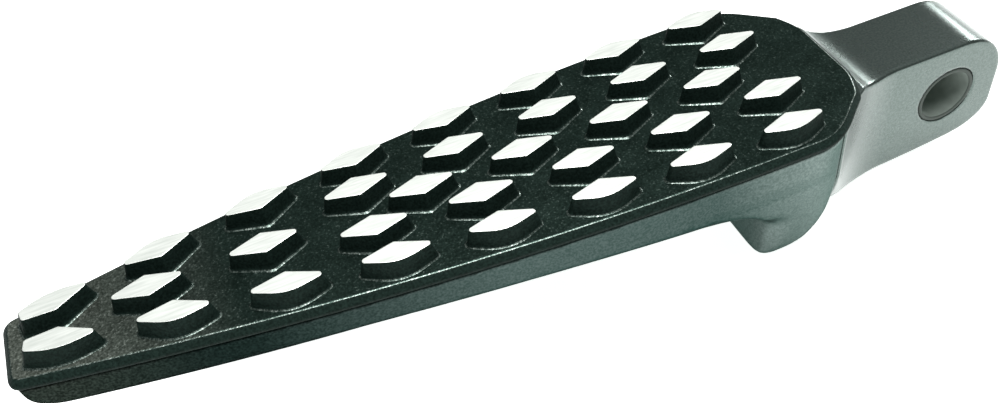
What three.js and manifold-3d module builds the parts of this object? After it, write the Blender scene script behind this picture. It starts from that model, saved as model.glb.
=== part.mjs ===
// Motorcycle foot peg: studded tread plate, hollow peg body and bolted-in mount arm
// that folds up about a steel pivot bush.
//
// Frame: millimetres, +Z up. The origin is the centre of the pivot bore. The bore axis
// is Y, the mount tongue ends at +X and the tip of the peg points along -X.

import * as THREE from 'three';
import { mergeVertices } from 'three/addons/utils/BufferGeometryUtils.js';
import Module from 'manifold-3d';

const wasm = await Module();
wasm.setup();

// ---------------------------------------------------------------- driving dimensions

const GAP = 0.3; // clearance left between pieces that touch
const REACH = 60; // how far a cutting tool runs past the piece it cuts

// tread plate outline, seen from above
const TIP_X = -136.8;
const TIP_FLAT_Y = 3.6;
const TIP_SIDE_X = -135.2;
const TIP_SIDE_Y = 5.7;
const SIDE_BOW_X = -82.4; // where the tangents at both ends of a side meet
const SIDE_BOW_Y = 16.5;
const SIDE_END_X = -30.8;
const SIDE_END_Y = 16.4;
const CORNER_X = -24.2;
const CORNER_Y = 13.4;
const END_BEND_X = -20.6;
const END_BEND_Y = 10.3;
const END_X = -18.8;
const END_FLAT_Y = 4.9;
const CORNER_BOW = 3.4; // how far the rounding of the wide corners reaches
const TIP_BOW = 0.3;

// levels
const TREAD_Z = 12.5; // upper face of the tread plate
const PLATE_THICKNESS = 1.3;
const PLATE_CHAMFER = 0.8;
const PLATE_BOTTOM_Z = TREAD_Z - PLATE_THICKNESS;
const BODY_TOP_Z = PLATE_BOTTOM_Z - GAP;
const DECK_BOTTOM_Z = 9.0;
const SKIRT_BOTTOM_Z = 6.1;
const HEEL_BOTTOM_Z = -11;

// studs: lozenges with small blunt tips, drafted all round
const STUD_HEIGHT = 2.6;
const STUD_TOP = { length: 9.1, width: 3.7 };
const STUD_BASE = { length: 10.9, width: 5.5 };
const STUD_TIP_SHARE = 0.14; // blunt tip width, as a share of the stud width
const FIRST_STUD_END = { x: -4.8, halfWidth: 1.5 }; // wide square end of the pair at the tip
const STUD_ROOT = 0.6; // how deep a stud runs into the plate
const OUTER_ROW = { firstX: -129.5, pitch: 13.7, count: 8, inset: 3.65 };
const INNER_ROW = { firstX: -89.5, pitch: 14.3, count: 5, crest: 5.95, fall: 0.19, crestIndex: 3.3 };
const AXIS_ROW = { firstX: -81.7, pitch: 14.47, count: 4 };
const AXIS_TIP_X = [-118.1, -103.1];

// peg body
const BODY_INSET = 0.25; // the plate stands this far proud of the body
const BODY_WALL = 2.5;
const BODY_END_X = -25.4;
const CAVITY_END_X = -44;
const NOSE_LENGTH = 5.5; // how far the nose rounds back under the tip
const SKIRT_FLAT_END_X = -94;
const SKIRT_DROP = { bowX: -66, bowZ: 5.3, endX: -48, endZ: 3.6 };
const HEEL_FLANK_X = -37.7;
const HEEL_FILLET = { bowX: -39, bowZ: 2.4, endZ: -1.5 };
const HEEL_TOE = { lean: 0.3, roundZ: 1.6, roundX: 2.2 };
const HEEL_REAR = { startX: -33.6, bowX: -28.8, bowRise: 1.2, endInset: 1.2, endZ: -3.4, topZ: 2.4 };
const FLANK_VIEW = {
  topY: 17, skirtZ: 7, midY: 16, midZ: 4, lowY: 14.5, lowZ: -7.3, footBowY: 14.2, footY: 11.5,
};
const HEEL_CORNER = { run: 0.7, y: 9.6, bowY: 14.7, endY: 16.2, length: 5, topZ: -0.8 };
const SPINE = { width: 7, tipX: -130, tipZ: 7.2, midX: -95, midZ: 6.4, bowX: -68, bowZ: 4.5, endZ: 1 };
const JOIN = 0.5; // how far a rib runs into the deck it stands on
const RIB = { firstX: -74, pitch: 18, count: 4, thickness: 1.6, bottomZ: 6.9 };
const SOCKET_BOSS = { startX: -55, halfWidth: 9, chamfer: 4, bottomZ: -2.7 };
const LOCATING_PEG = { x: -31, y: 10.4, radius: 1.9, length: 3.2 };

// mount arm
const TONGUE_HALF_WIDTH = 6;
const TONGUE_END_X = 9.4;
const TONGUE_CORNER = 8;
const TONGUE_TOP_Z = 9.3;
const TONGUE_FLAT_Z = -4.6; // where the flat of the tongue end turns under
const ARM_START_X = BODY_END_X + GAP;
const FLANGE_HALF_WIDTH = 14;
const FLANGE_SWEEP = { bowX: -18.2, bowOut: 0.4, endX: -10.5 };
const FLANGE_UNDER = { startZ: 1, bowY: 11.8, bowZ: -7.8, endY: 5.5, endZ: -11.5 };
const ARM_UNDER = { startZ: -10.6, bowX: -14, bowZ: -11.4, midX: 1, midZ: -9.7, endBow: 0.6, endZ: -9 };
const NECK_STEP = { startX: -13, startZ: 9.4, bowX: -16.8, endX: -18.2 };
const TENON = { startX: -52, halfWidth: 6, bottomZ: 0.2, topZ: 8.2 };

// pivot
const BORE_RADIUS = 4.9;
const BUSH_OUTER_RADIUS = 4.83;
const BUSH_INNER_RADIUS = 4.2;
const BUSH_EDGE = 0.2;
const ROUND_SIDES = 48;

// fasteners: shank radius, domed head, hexagon socket and split spring washer
const TREAD_SCREW = {
  shank: 1.5, head: 2.85, headHeight: 1.65, socket: 1.15, socketDepth: 0.9, seatZ: DECK_BOTTOM_Z,
  tipZ: 13.4, washerOuter: 2.75, washerThickness: 0.7,
  places: [[-118.1, 0], [-81.7, 0], [-60.9, 5.6], [-60.9, -5.6]],
};
const ARM_SCREW = {
  shank: 2.5, head: 4.75, headHeight: 2.75, socket: 1.73, socketDepth: 1.6, seatZ: -1.5,
  tipZ: 6, washerOuter: 4.6, washerThickness: 1.1,
  places: [[-46, 0]],
};
const HEAD_ROOM = 0.5; // clearance round a screw head
const ROLL_PIN = { x: -32, outer: 2, inner: 1.4, slot: 0.9, bottomZ: -3, topZ: 10.2 };
const WASHER_SPLIT = 0.6;

// ---------------------------------------------------------------- geometry helpers

function solid(geometry) {
  const bare = geometry.clone();
  bare.deleteAttribute('normal');
  bare.deleteAttribute('uv');
  const merged = mergeVertices(bare, 1e-4);
  return new wasm.Manifold(new wasm.Mesh({
    numProp: 3,
    vertProperties: new Float32Array(merged.attributes.position.array),
    triVerts: new Uint32Array(merged.index.array),
  }));
}

function geometryOf(manifold) {
  const { vertProperties, triVerts } = manifold.getMesh();
  const geometry = new THREE.BufferGeometry();
  geometry.setAttribute('position', new THREE.BufferAttribute(vertProperties, 3));
  geometry.setIndex(new THREE.BufferAttribute(triVerts, 1));
  return geometry;
}

function box(minX, maxX, minY, maxY, minZ, maxZ) {
  const geometry = new THREE.BoxGeometry(maxX - minX, maxY - minY, maxZ - minZ);
  geometry.translate((minX + maxX) / 2, (minY + maxY) / 2, (minZ + maxZ) / 2);
  return solid(geometry);
}

function extrude(shape, depth, curveSegments = 10) {
  return new THREE.ExtrudeGeometry(shape, { depth, curveSegments, bevelEnabled: false });
}

// A shape drawn in X and Y, standing between two heights.
function upright(shape, bottomZ, topZ, curveSegments) {
  return solid(extrude(shape, topZ - bottomZ, curveSegments).translate(0, 0, bottomZ));
}

// A shape drawn in X and Z, with equal reach to both sides of Y = 0.
function acrossY(shape, halfWidth, curveSegments) {
  const geometry = extrude(shape, 2 * halfWidth, curveSegments);
  return solid(geometry.rotateX(Math.PI / 2).translate(0, halfWidth, 0));
}

// A shape drawn in Y and Z, running from one X to another.
function alongX(shape, startX, endX, curveSegments) {
  const turn = new THREE.Matrix4().makeBasis(
    new THREE.Vector3(0, 1, 0), new THREE.Vector3(0, 0, 1), new THREE.Vector3(1, 0, 0));
  const geometry = extrude(shape, endX - startX, curveSegments);
  return solid(geometry.applyMatrix4(turn).translate(startX, 0, 0));
}

function cylinder(x, y, radius, bottomZ, topZ, sides = 32) {
  const geometry = new THREE.CylinderGeometry(radius, radius, topZ - bottomZ, sides);
  geometry.rotateX(Math.PI / 2);
  return solid(geometry.translate(x, y, (bottomZ + topZ) / 2));
}

function ringShape(outer, inner, slot) {
  const outerAngle = Math.asin(slot / 2 / outer);
  const innerAngle = Math.asin(slot / 2 / inner);
  const shape = new THREE.Shape();
  shape.absarc(0, 0, outer, outerAngle, 2 * Math.PI - outerAngle, false);
  shape.absarc(0, 0, inner, 2 * Math.PI - innerAngle, innerAngle, true);
  shape.closePath();
  return shape;
}

// ---------------------------------------------------------------- outlines

// The pad seen from above, moved inwards by `inset`: blunt tip, bowed sides, cut corners.
function padOutline(inset) {
  const tip = { x: TIP_X + inset, y: TIP_FLAT_Y - inset / 2 };
  const tipSide = { x: TIP_SIDE_X + inset, y: TIP_SIDE_Y - inset };
  const sideEnd = { x: SIDE_END_X - inset, y: SIDE_END_Y - inset };
  const corner = { x: CORNER_X - inset, y: CORNER_Y - inset };
  const bend = { x: END_BEND_X - inset, y: END_BEND_Y - inset };
  const end = { x: END_X - inset, y: END_FLAT_Y - inset / 2 };
  const tipBowY = tipSide.y - TIP_BOW;
  const sideBowY = SIDE_BOW_Y - inset;
  const shape = new THREE.Shape();
  shape.moveTo(tip.x, -tip.y);
  shape.quadraticCurveTo(tip.x, -tipBowY, tipSide.x, -tipSide.y);
  shape.quadraticCurveTo(SIDE_BOW_X, -sideBowY, sideEnd.x, -sideEnd.y);
  shape.quadraticCurveTo(corner.x - CORNER_BOW, -sideEnd.y, corner.x, -corner.y);
  shape.lineTo(bend.x, -bend.y);
  shape.quadraticCurveTo(end.x, CORNER_BOW - bend.y, end.x, -end.y);
  shape.lineTo(end.x, end.y);
  shape.quadraticCurveTo(end.x, bend.y - CORNER_BOW, bend.x, bend.y);
  shape.lineTo(corner.x, corner.y);
  shape.quadraticCurveTo(corner.x - CORNER_BOW, sideEnd.y, sideEnd.x, sideEnd.y);
  shape.quadraticCurveTo(SIDE_BOW_X, sideBowY, tipSide.x, tipSide.y);
  shape.quadraticCurveTo(tip.x, tipBowY, tip.x, tip.y);
  shape.closePath();
  return shape;
}

// Half width and heading of the bowed side at a given X.
function sideAt(x) {
  const side = new THREE.QuadraticBezierCurve(
    new THREE.Vector2(TIP_SIDE_X, TIP_SIDE_Y),
    new THREE.Vector2(SIDE_BOW_X, SIDE_BOW_Y),
    new THREE.Vector2(SIDE_END_X, SIDE_END_Y));
  const t = (x - TIP_SIDE_X) / (SIDE_END_X - TIP_SIDE_X);
  const tangent = side.getTangent(t);
  return { y: side.getPoint(t).y, heading: Math.atan2(tangent.y, tangent.x) };
}

function lozenge({ length, width }, squareEnd) {
  const tip = width * STUD_TIP_SHARE;
  const shape = new THREE.Shape();
  if (squareEnd) {
    shape.moveTo(squareEnd.x, squareEnd.halfWidth);
    shape.lineTo(squareEnd.x, -squareEnd.halfWidth);
  } else {
    shape.moveTo(-length / 2 + tip, tip);
    shape.lineTo(-length / 2, tip / 2);
    shape.lineTo(-length / 2, -tip / 2);
    shape.lineTo(-length / 2 + tip, -tip);
  }
  shape.lineTo(0, -width / 2);
  shape.lineTo(length / 2 - tip, -tip);
  shape.lineTo(length / 2, -tip / 2);
  shape.lineTo(length / 2, tip / 2);
  shape.lineTo(length / 2 - tip, tip);
  shape.lineTo(0, width / 2);
  shape.closePath();
  return shape;
}

// ---------------------------------------------------------------- tread plate

// A drafted stud, its base on the tread and its root inside the plate.
function stud(x, y, heading) {
  const squareEnd = x === OUTER_ROW.firstX ? FIRST_STUD_END : null;
  const geometry = extrude(lozenge(STUD_BASE, squareEnd), STUD_HEIGHT);
  const position = geometry.attributes.position;
  const shrinkX = STUD_TOP.length / STUD_BASE.length;
  const shrinkY = STUD_TOP.width / STUD_BASE.width;
  for (let i = 0; i < position.count; i += 1) {
    const atTop = position.getZ(i) > STUD_HEIGHT / 2;
    if (atTop) {
      position.setXY(i, position.getX(i) * shrinkX, position.getY(i) * shrinkY);
    } else {
      position.setZ(i, -STUD_ROOT);
    }
  }
  return solid(geometry.rotateZ(heading).translate(x, y, TREAD_Z));
}

function studPlaces() {
  const places = AXIS_TIP_X.map((x) => ({ x, y: 0, heading: 0 }));
  for (let i = 0; i < AXIS_ROW.count; i += 1) {
    places.push({ x: AXIS_ROW.firstX + i * AXIS_ROW.pitch, y: 0, heading: 0 });
  }
  for (const side of [-1, 1]) {
    for (let i = 0; i < OUTER_ROW.count; i += 1) {
      const x = OUTER_ROW.firstX + i * OUTER_ROW.pitch;
      const { y, heading } = sideAt(x);
      places.push({ x, y: side * (y - OUTER_ROW.inset), heading: side * heading });
    }
    for (let i = 0; i < INNER_ROW.count; i += 1) {
      const x = INNER_ROW.firstX + i * INNER_ROW.pitch;
      const y = INNER_ROW.crest - INNER_ROW.fall * (INNER_ROW.crestIndex - i) ** 2;
      places.push({ x, y: side * y, heading: side * sideAt(x).heading / 2 });
    }
  }
  return places;
}

function treadPlate() {
  // chamfered on both faces, then cut back to its flat underside
  const slab = new THREE.ExtrudeGeometry(padOutline(0), {
    depth: PLATE_THICKNESS,
    curveSegments: 10,
    bevelEnabled: true,
    bevelSegments: 1,
    bevelThickness: PLATE_CHAMFER,
    bevelSize: PLATE_CHAMFER,
    bevelOffset: -PLATE_CHAMFER,
  });
  slab.translate(0, 0, TREAD_Z - PLATE_THICKNESS - PLATE_CHAMFER);
  let plate = solid(slab).subtract(
    box(TIP_X - REACH, REACH, -REACH, REACH, PLATE_BOTTOM_Z - REACH, PLATE_BOTTOM_Z));
  for (const { x, y, heading } of studPlaces()) {
    plate = plate.add(stud(x, y, heading));
  }
  const peg = LOCATING_PEG;
  for (const side of [-1, 1]) {
    plate = plate.add(cylinder(
      peg.x, side * peg.y, peg.radius, PLATE_BOTTOM_Z - peg.length, PLATE_BOTTOM_Z + STUD_ROOT, 24));
  }
  for (const [x, y] of TREAD_SCREW.places) {
    const radius = TREAD_SCREW.shank + GAP;
    plate = plate.subtract(cylinder(x, y, radius, PLATE_BOTTOM_Z - REACH, TREAD_SCREW.tipZ + GAP, 24));
  }
  return plate;
}

// ---------------------------------------------------------------- peg body

// Side view: rounded nose, straight skirt, a dropping stretch and the heel lug.
function bodySideView() {
  const heelToeX = HEEL_FLANK_X + HEEL_TOE.lean;
  const rear = HEEL_REAR;
  const shape = new THREE.Shape();
  shape.moveTo(TIP_X - 1, BODY_TOP_Z);
  shape.lineTo(TIP_X, BODY_TOP_Z - BODY_INSET);
  shape.quadraticCurveTo(TIP_X + BODY_INSET, SKIRT_BOTTOM_Z, TIP_X + NOSE_LENGTH, SKIRT_BOTTOM_Z);
  shape.lineTo(SKIRT_FLAT_END_X, SKIRT_BOTTOM_Z);
  shape.quadraticCurveTo(SKIRT_DROP.bowX, SKIRT_DROP.bowZ, SKIRT_DROP.endX, SKIRT_DROP.endZ);
  shape.quadraticCurveTo(HEEL_FILLET.bowX, HEEL_FILLET.bowZ, HEEL_FLANK_X, HEEL_FILLET.endZ);
  shape.lineTo(heelToeX, HEEL_BOTTOM_Z + HEEL_TOE.roundZ);
  shape.quadraticCurveTo(heelToeX, HEEL_BOTTOM_Z, HEEL_FLANK_X + HEEL_TOE.roundX, HEEL_BOTTOM_Z);
  shape.lineTo(rear.startX, HEEL_BOTTOM_Z);
  shape.quadraticCurveTo(
    rear.bowX, HEEL_BOTTOM_Z + rear.bowRise, BODY_END_X - rear.endInset, rear.endZ);
  shape.lineTo(BODY_END_X, rear.topZ);
  shape.lineTo(BODY_END_X, BODY_TOP_Z);
  shape.closePath();
  return shape;
}

// End view: the sides lean in below the skirt and round under the heel.
function bodyEndView() {
  const { topY, skirtZ, midY, midZ, lowY, lowZ, footBowY, footY } = FLANK_VIEW;
  const shape = new THREE.Shape();
  shape.moveTo(-topY, BODY_TOP_Z);
  shape.lineTo(-topY, skirtZ);
  shape.lineTo(-midY, midZ);
  shape.lineTo(-lowY, lowZ);
  shape.quadraticCurveTo(-footBowY, HEEL_BOTTOM_Z, -footY, HEEL_BOTTOM_Z);
  shape.lineTo(footY, HEEL_BOTTOM_Z);
  shape.quadraticCurveTo(footBowY, HEEL_BOTTOM_Z, lowY, lowZ);
  shape.lineTo(midY, midZ);
  shape.lineTo(topY, skirtZ);
  shape.lineTo(topY, BODY_TOP_Z);
  shape.closePath();
  return shape;
}

// The corners to cut from the heel lug, seen from above, so that its flank rounds into its sides.
function heelCornerCut(side) {
  const shape = new THREE.Shape();
  const { y, bowY, endY, length } = HEEL_CORNER;
  const startX = HEEL_FLANK_X - HEEL_CORNER.run;
  shape.moveTo(startX, side * y);
  shape.quadraticCurveTo(HEEL_FLANK_X, side * bowY, startX + length, side * endY);
  shape.lineTo(startX + length, side * FLANK_VIEW.topY);
  shape.lineTo(startX, side * FLANK_VIEW.topY);
  shape.closePath();
  return upright(shape, HEEL_BOTTOM_Z - 1, HEEL_CORNER.topZ, 6);
}

// Keel under the deck, deepest where it meets the socket boss.
function spineSideView() {
  const { tipX, tipZ, midX, midZ, bowX, bowZ, endZ } = SPINE;
  const endX = SOCKET_BOSS.startX + 1;
  const shape = new THREE.Shape();
  shape.moveTo(tipX, DECK_BOTTOM_Z + JOIN);
  shape.lineTo(tipX, tipZ);
  shape.lineTo(midX, midZ);
  shape.quadraticCurveTo(bowX, bowZ, endX, endZ);
  shape.lineTo(endX, DECK_BOTTOM_Z + JOIN);
  shape.closePath();
  return shape;
}

function socketBossEndView() {
  const { halfWidth, chamfer, bottomZ } = SOCKET_BOSS;
  const topZ = DECK_BOTTOM_Z + JOIN;
  const shape = new THREE.Shape();
  shape.moveTo(-halfWidth, topZ);
  shape.lineTo(-halfWidth, bottomZ + chamfer);
  shape.lineTo(-halfWidth + chamfer, bottomZ);
  shape.lineTo(halfWidth - chamfer, bottomZ);
  shape.lineTo(halfWidth, bottomZ + chamfer);
  shape.lineTo(halfWidth, topZ);
  shape.closePath();
  return shape;
}

function bodyInside() {
  const inner = upright(padOutline(BODY_INSET + BODY_WALL), HEEL_BOTTOM_Z, DECK_BOTTOM_Z);
  return inner.subtract(box(CAVITY_END_X, REACH, -REACH, REACH, HEEL_BOTTOM_Z - 1, BODY_TOP_Z));
}

function bodyRibs() {
  let ribs = acrossY(spineSideView(), SPINE.width / 2, 8);
  ribs = ribs.add(alongX(socketBossEndView(), SOCKET_BOSS.startX, HEEL_FLANK_X + 1));
  const between = upright(
    padOutline(BODY_INSET + BODY_WALL / 2), RIB.bottomZ, DECK_BOTTOM_Z + JOIN);
  for (let i = 0; i < RIB.count; i += 1) {
    const x = RIB.firstX - i * RIB.pitch;
    const slice = box(x, x + RIB.thickness, -REACH, REACH, -REACH, REACH);
    ribs = ribs.add(between.intersect(slice));
  }
  return ribs;
}

function screwHoles(screw) {
  let holes = null;
  for (const [x, y] of screw.places) {
    const clearance = cylinder(x, y, screw.shank + GAP, screw.seatZ - 1, BODY_TOP_Z + 1, 24);
    const access = cylinder(x, y, screw.head + HEAD_ROOM, screw.seatZ - REACH, screw.seatZ);
    const hole = clearance.add(access);
    holes = holes ? holes.add(hole) : hole;
  }
  return holes;
}

function pegBody() {
  let body = upright(padOutline(BODY_INSET), HEEL_BOTTOM_Z, BODY_TOP_Z);
  body = body.intersect(acrossY(bodySideView(), REACH));
  body = body.intersect(alongX(bodyEndView(), TIP_X - 1, BODY_END_X));
  body = body.subtract(bodyInside()).add(bodyRibs());
  body = body.subtract(heelCornerCut(-1)).subtract(heelCornerCut(1));
  body = body.subtract(box(
    TENON.startX - GAP, BODY_END_X + 1, -TENON.halfWidth - GAP, TENON.halfWidth + GAP,
    TENON.bottomZ - GAP, TENON.topZ + GAP));
  body = body.subtract(screwHoles(TREAD_SCREW));
  const [x, y] = ARM_SCREW.places[0];
  body = body.subtract(cylinder(x, y, ARM_SCREW.shank + GAP, -REACH, TENON.bottomZ, 24));
  body = body.subtract(cylinder(x, y, ARM_SCREW.head + HEAD_ROOM, -REACH, ARM_SCREW.seatZ));
  body = body.subtract(
    cylinder(ROLL_PIN.x, 0, ROLL_PIN.outer + GAP, ROLL_PIN.bottomZ - GAP, BODY_TOP_Z + 1, 32));
  const peg = LOCATING_PEG;
  const pegHoleZ = PLATE_BOTTOM_Z - peg.length - GAP;
  for (const side of [-1, 1]) {
    body = body.subtract(
      cylinder(peg.x, side * peg.y, peg.radius + GAP, pegHoleZ, BODY_TOP_Z + 1, 24));
  }
  return body;
}

// ---------------------------------------------------------------- mount arm

// Seen from above: the flange draws in to the parallel tongue.
function armPlanView() {
  const { bowX, bowOut, endX } = FLANGE_SWEEP;
  const tongueY = TONGUE_HALF_WIDTH;
  const shape = new THREE.Shape();
  shape.moveTo(ARM_START_X, -FLANGE_HALF_WIDTH);
  shape.quadraticCurveTo(bowX, -tongueY - bowOut, endX, -tongueY);
  shape.lineTo(TONGUE_END_X + 1, -tongueY);
  shape.lineTo(TONGUE_END_X + 1, tongueY);
  shape.lineTo(endX, tongueY);
  shape.quadraticCurveTo(bowX, tongueY + bowOut, ARM_START_X, FLANGE_HALF_WIDTH);
  shape.closePath();
  return shape;
}

// Side view: rounded tongue end, top stepping up under the tread plate.
function armSideView() {
  const under = ARM_UNDER;
  const step = NECK_STEP;
  const cornerX = TONGUE_END_X - TONGUE_CORNER;
  const cornerZ = TONGUE_TOP_Z - TONGUE_CORNER;
  const shape = new THREE.Shape();
  shape.moveTo(ARM_START_X, BODY_TOP_Z);
  shape.lineTo(ARM_START_X, under.startZ);
  shape.quadraticCurveTo(under.bowX, under.bowZ, under.midX, under.midZ);
  shape.quadraticCurveTo(TONGUE_END_X - under.endBow, under.endZ, TONGUE_END_X, TONGUE_FLAT_Z);
  shape.absarc(cornerX, cornerZ, TONGUE_CORNER, 0, Math.PI / 2, false);
  shape.lineTo(step.startX, step.startZ);
  shape.quadraticCurveTo(step.bowX, step.startZ, step.endX, BODY_TOP_Z);
  shape.closePath();
  return shape;
}

// End view of the flange: square shoulders, rounded under.
function armEndView() {
  const { startZ, bowY, bowZ, endY, endZ } = FLANGE_UNDER;
  const shape = new THREE.Shape();
  shape.moveTo(-FLANGE_HALF_WIDTH, BODY_TOP_Z);
  shape.lineTo(-FLANGE_HALF_WIDTH, startZ);
  shape.quadraticCurveTo(-bowY, bowZ, -endY, endZ);
  shape.lineTo(endY, endZ);
  shape.quadraticCurveTo(bowY, bowZ, FLANGE_HALF_WIDTH, startZ);
  shape.lineTo(FLANGE_HALF_WIDTH, BODY_TOP_Z);
  shape.closePath();
  return shape;
}

function mountArm() {
  const { startX, halfWidth, bottomZ, topZ } = TENON;
  let arm = upright(armPlanView(), FLANGE_UNDER.endZ, BODY_TOP_Z);
  arm = arm.intersect(acrossY(armSideView(), REACH, 12));
  arm = arm.intersect(alongX(armEndView(), ARM_START_X, TONGUE_END_X + 1));
  arm = arm.add(box(startX, ARM_START_X + 1, -halfWidth, halfWidth, bottomZ, topZ));
  const bore = new THREE.CylinderGeometry(BORE_RADIUS, BORE_RADIUS, REACH, ROUND_SIDES);
  arm = arm.subtract(solid(bore));
  const [x, y] = ARM_SCREW.places[0];
  arm = arm.subtract(cylinder(x, y, ARM_SCREW.shank + GAP, -REACH, ARM_SCREW.tipZ + GAP, 24));
  return arm.subtract(cylinder(ROLL_PIN.x, 0, ROLL_PIN.outer + GAP, -REACH, REACH, 32));
}

// ---------------------------------------------------------------- pivot and fasteners

function pivotBush() {
  const end = TONGUE_HALF_WIDTH;
  const profile = [
    [BUSH_INNER_RADIUS, -end + BUSH_EDGE],
    [BUSH_INNER_RADIUS + BUSH_EDGE, -end],
    [BUSH_OUTER_RADIUS - BUSH_EDGE, -end],
    [BUSH_OUTER_RADIUS, -end + BUSH_EDGE],
    [BUSH_OUTER_RADIUS, end - BUSH_EDGE],
    [BUSH_OUTER_RADIUS - BUSH_EDGE, end],
    [BUSH_INNER_RADIUS + BUSH_EDGE, end],
    [BUSH_INNER_RADIUS, end - BUSH_EDGE],
    [BUSH_INNER_RADIUS, -end + BUSH_EDGE],
  ].map(([r, y]) => new THREE.Vector2(r, y));
  return solid(new THREE.LatheGeometry(profile, ROUND_SIDES));
}

// Domed-head screw pointing up, hexagon socket underneath.
function domedScrew(screw, [x, y]) {
  const headTopZ = screw.seatZ - screw.washerThickness - 2 * GAP;
  const headBottomZ = headTopZ - screw.headHeight;
  const face = screw.head * 0.6;
  const points = [new THREE.Vector2(0, headBottomZ), new THREE.Vector2(face, headBottomZ)];
  const dome = new THREE.QuadraticBezierCurve(
    new THREE.Vector2(face, headBottomZ),
    new THREE.Vector2(screw.head, headBottomZ + screw.headHeight * 0.25),
    new THREE.Vector2(screw.head, headTopZ - screw.headHeight * 0.15));
  points.push(...dome.getPoints(3).slice(1));
  points.push(new THREE.Vector2(screw.head, headTopZ));
  points.push(new THREE.Vector2(screw.shank, headTopZ));
  points.push(new THREE.Vector2(screw.shank, screw.tipZ - 0.5));
  points.push(new THREE.Vector2(screw.shank - 0.5, screw.tipZ));
  points.push(new THREE.Vector2(0, screw.tipZ));
  const turned = solid(new THREE.LatheGeometry(points, 20).rotateX(Math.PI / 2));
  const socket = cylinder(0, 0, screw.socket, headBottomZ - 1, headBottomZ + screw.socketDepth, 6);
  return turned.subtract(socket).translate([x, y, 0]);
}

function springWasher(screw, [x, y]) {
  const topZ = screw.seatZ - GAP;
  const shape = ringShape(screw.washerOuter, screw.shank + GAP, WASHER_SPLIT);
  return upright(shape, topZ - screw.washerThickness, topZ, 12).translate([x, y, 0]);
}

function rollPin() {
  const shape = ringShape(ROLL_PIN.outer, ROLL_PIN.inner, ROLL_PIN.slot);
  return upright(shape, ROLL_PIN.bottomZ, ROLL_PIN.topZ, 12).translate([ROLL_PIN.x, 0, 0]);
}

// ---------------------------------------------------------------- assembly

const FINISH = {
  blackCast: { color: 0x2a3a35, roughness: 0.6, metalness: 0.3 },
  blackGloss: { color: 0x3a4642, roughness: 0.28, metalness: 0.4 },
  darkSteel: { color: 0x24292a, roughness: 0.45, metalness: 0.8 },
  steel: { color: 0x9aa09f, roughness: 0.35, metalness: 0.9 },
};

const footPeg = new THREE.Group();

function add(name, manifold, finish) {
  const mesh = new THREE.Mesh(geometryOf(manifold), new THREE.MeshStandardMaterial(finish));
  mesh.name = name;
  footPeg.add(mesh);
}

add('tread_plate', treadPlate(), FINISH.blackCast);
add('peg_body', pegBody(), FINISH.blackGloss);
add('mount_arm', mountArm(), FINISH.blackGloss);
add('pivot_bush', pivotBush(), FINISH.darkSteel);
add('arm_screw', domedScrew(ARM_SCREW, ARM_SCREW.places[0]), FINISH.steel);
add('arm_screw_washer', springWasher(ARM_SCREW, ARM_SCREW.places[0]), FINISH.steel);
add('arm_roll_pin', rollPin(), FINISH.darkSteel);
TREAD_SCREW.places.forEach((place, i) => {
  add(`tread_screw_${i + 1}`, domedScrew(TREAD_SCREW, place), FINISH.steel);
  add(`tread_screw_washer_${i + 1}`, springWasher(TREAD_SCREW, place), FINISH.steel);
});

export default footPeg;
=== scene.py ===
"""Looks of the foot peg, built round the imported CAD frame.

Shapes are drawn in millimetres in the frame of the CAD part, and scaled to metres when a mesh is
made. The tread plate is built from rings of points, with the tread between the studs
triangulated. The peg body and the mount arm are distance fields turned into smooth meshes, so
that every edge and corner has its real radius.
"""

import math

import bpy
import numpy as np
from mathutils import Matrix, Vector
from mathutils.geometry import delaunay_2d_cdt


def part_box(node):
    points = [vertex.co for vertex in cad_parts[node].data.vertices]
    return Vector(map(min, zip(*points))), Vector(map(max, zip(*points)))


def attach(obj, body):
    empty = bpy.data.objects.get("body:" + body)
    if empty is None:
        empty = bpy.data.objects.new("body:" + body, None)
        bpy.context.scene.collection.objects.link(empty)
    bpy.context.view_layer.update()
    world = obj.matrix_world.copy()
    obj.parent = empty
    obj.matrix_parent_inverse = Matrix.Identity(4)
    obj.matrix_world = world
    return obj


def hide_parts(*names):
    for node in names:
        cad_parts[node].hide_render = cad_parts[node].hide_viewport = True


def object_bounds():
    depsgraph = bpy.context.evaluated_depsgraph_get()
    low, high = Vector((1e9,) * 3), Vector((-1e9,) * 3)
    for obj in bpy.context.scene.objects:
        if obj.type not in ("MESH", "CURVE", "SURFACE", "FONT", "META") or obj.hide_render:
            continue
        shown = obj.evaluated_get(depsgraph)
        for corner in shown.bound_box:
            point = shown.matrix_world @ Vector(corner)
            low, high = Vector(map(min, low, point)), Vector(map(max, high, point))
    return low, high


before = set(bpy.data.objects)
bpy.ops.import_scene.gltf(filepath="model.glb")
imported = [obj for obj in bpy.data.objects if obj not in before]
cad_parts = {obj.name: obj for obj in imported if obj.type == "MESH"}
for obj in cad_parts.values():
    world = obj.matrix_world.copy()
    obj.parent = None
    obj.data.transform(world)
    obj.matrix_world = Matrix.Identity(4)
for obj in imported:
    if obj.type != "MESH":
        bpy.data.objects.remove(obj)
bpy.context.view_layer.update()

MM = 0.001


def box_mm(node):
    lo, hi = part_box(node)
    return np.array(lo) / MM, np.array(hi) / MM


# ---------------------------------------------------------------- places taken from the frame

PLATE_LO, PLATE_HI = box_mm("tread_plate")
BODY_LO, BODY_HI = box_mm("peg_body")
ARM_LO, ARM_HI = box_mm("mount_arm")
_, BUSH_HI = box_mm("pivot_bush")

TIP_X = PLATE_LO[0]
END_X = PLATE_HI[0]
ARM_END_X = ARM_HI[0]
STUD_TOP_Z = PLATE_HI[2]
BODY_TOP_Z = BODY_HI[2]
BODY_END_X = BODY_HI[0]
HEEL_BOTTOM_Z = BODY_LO[2]

# ---------------------------------------------------------------- sizes, in millimetres

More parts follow.
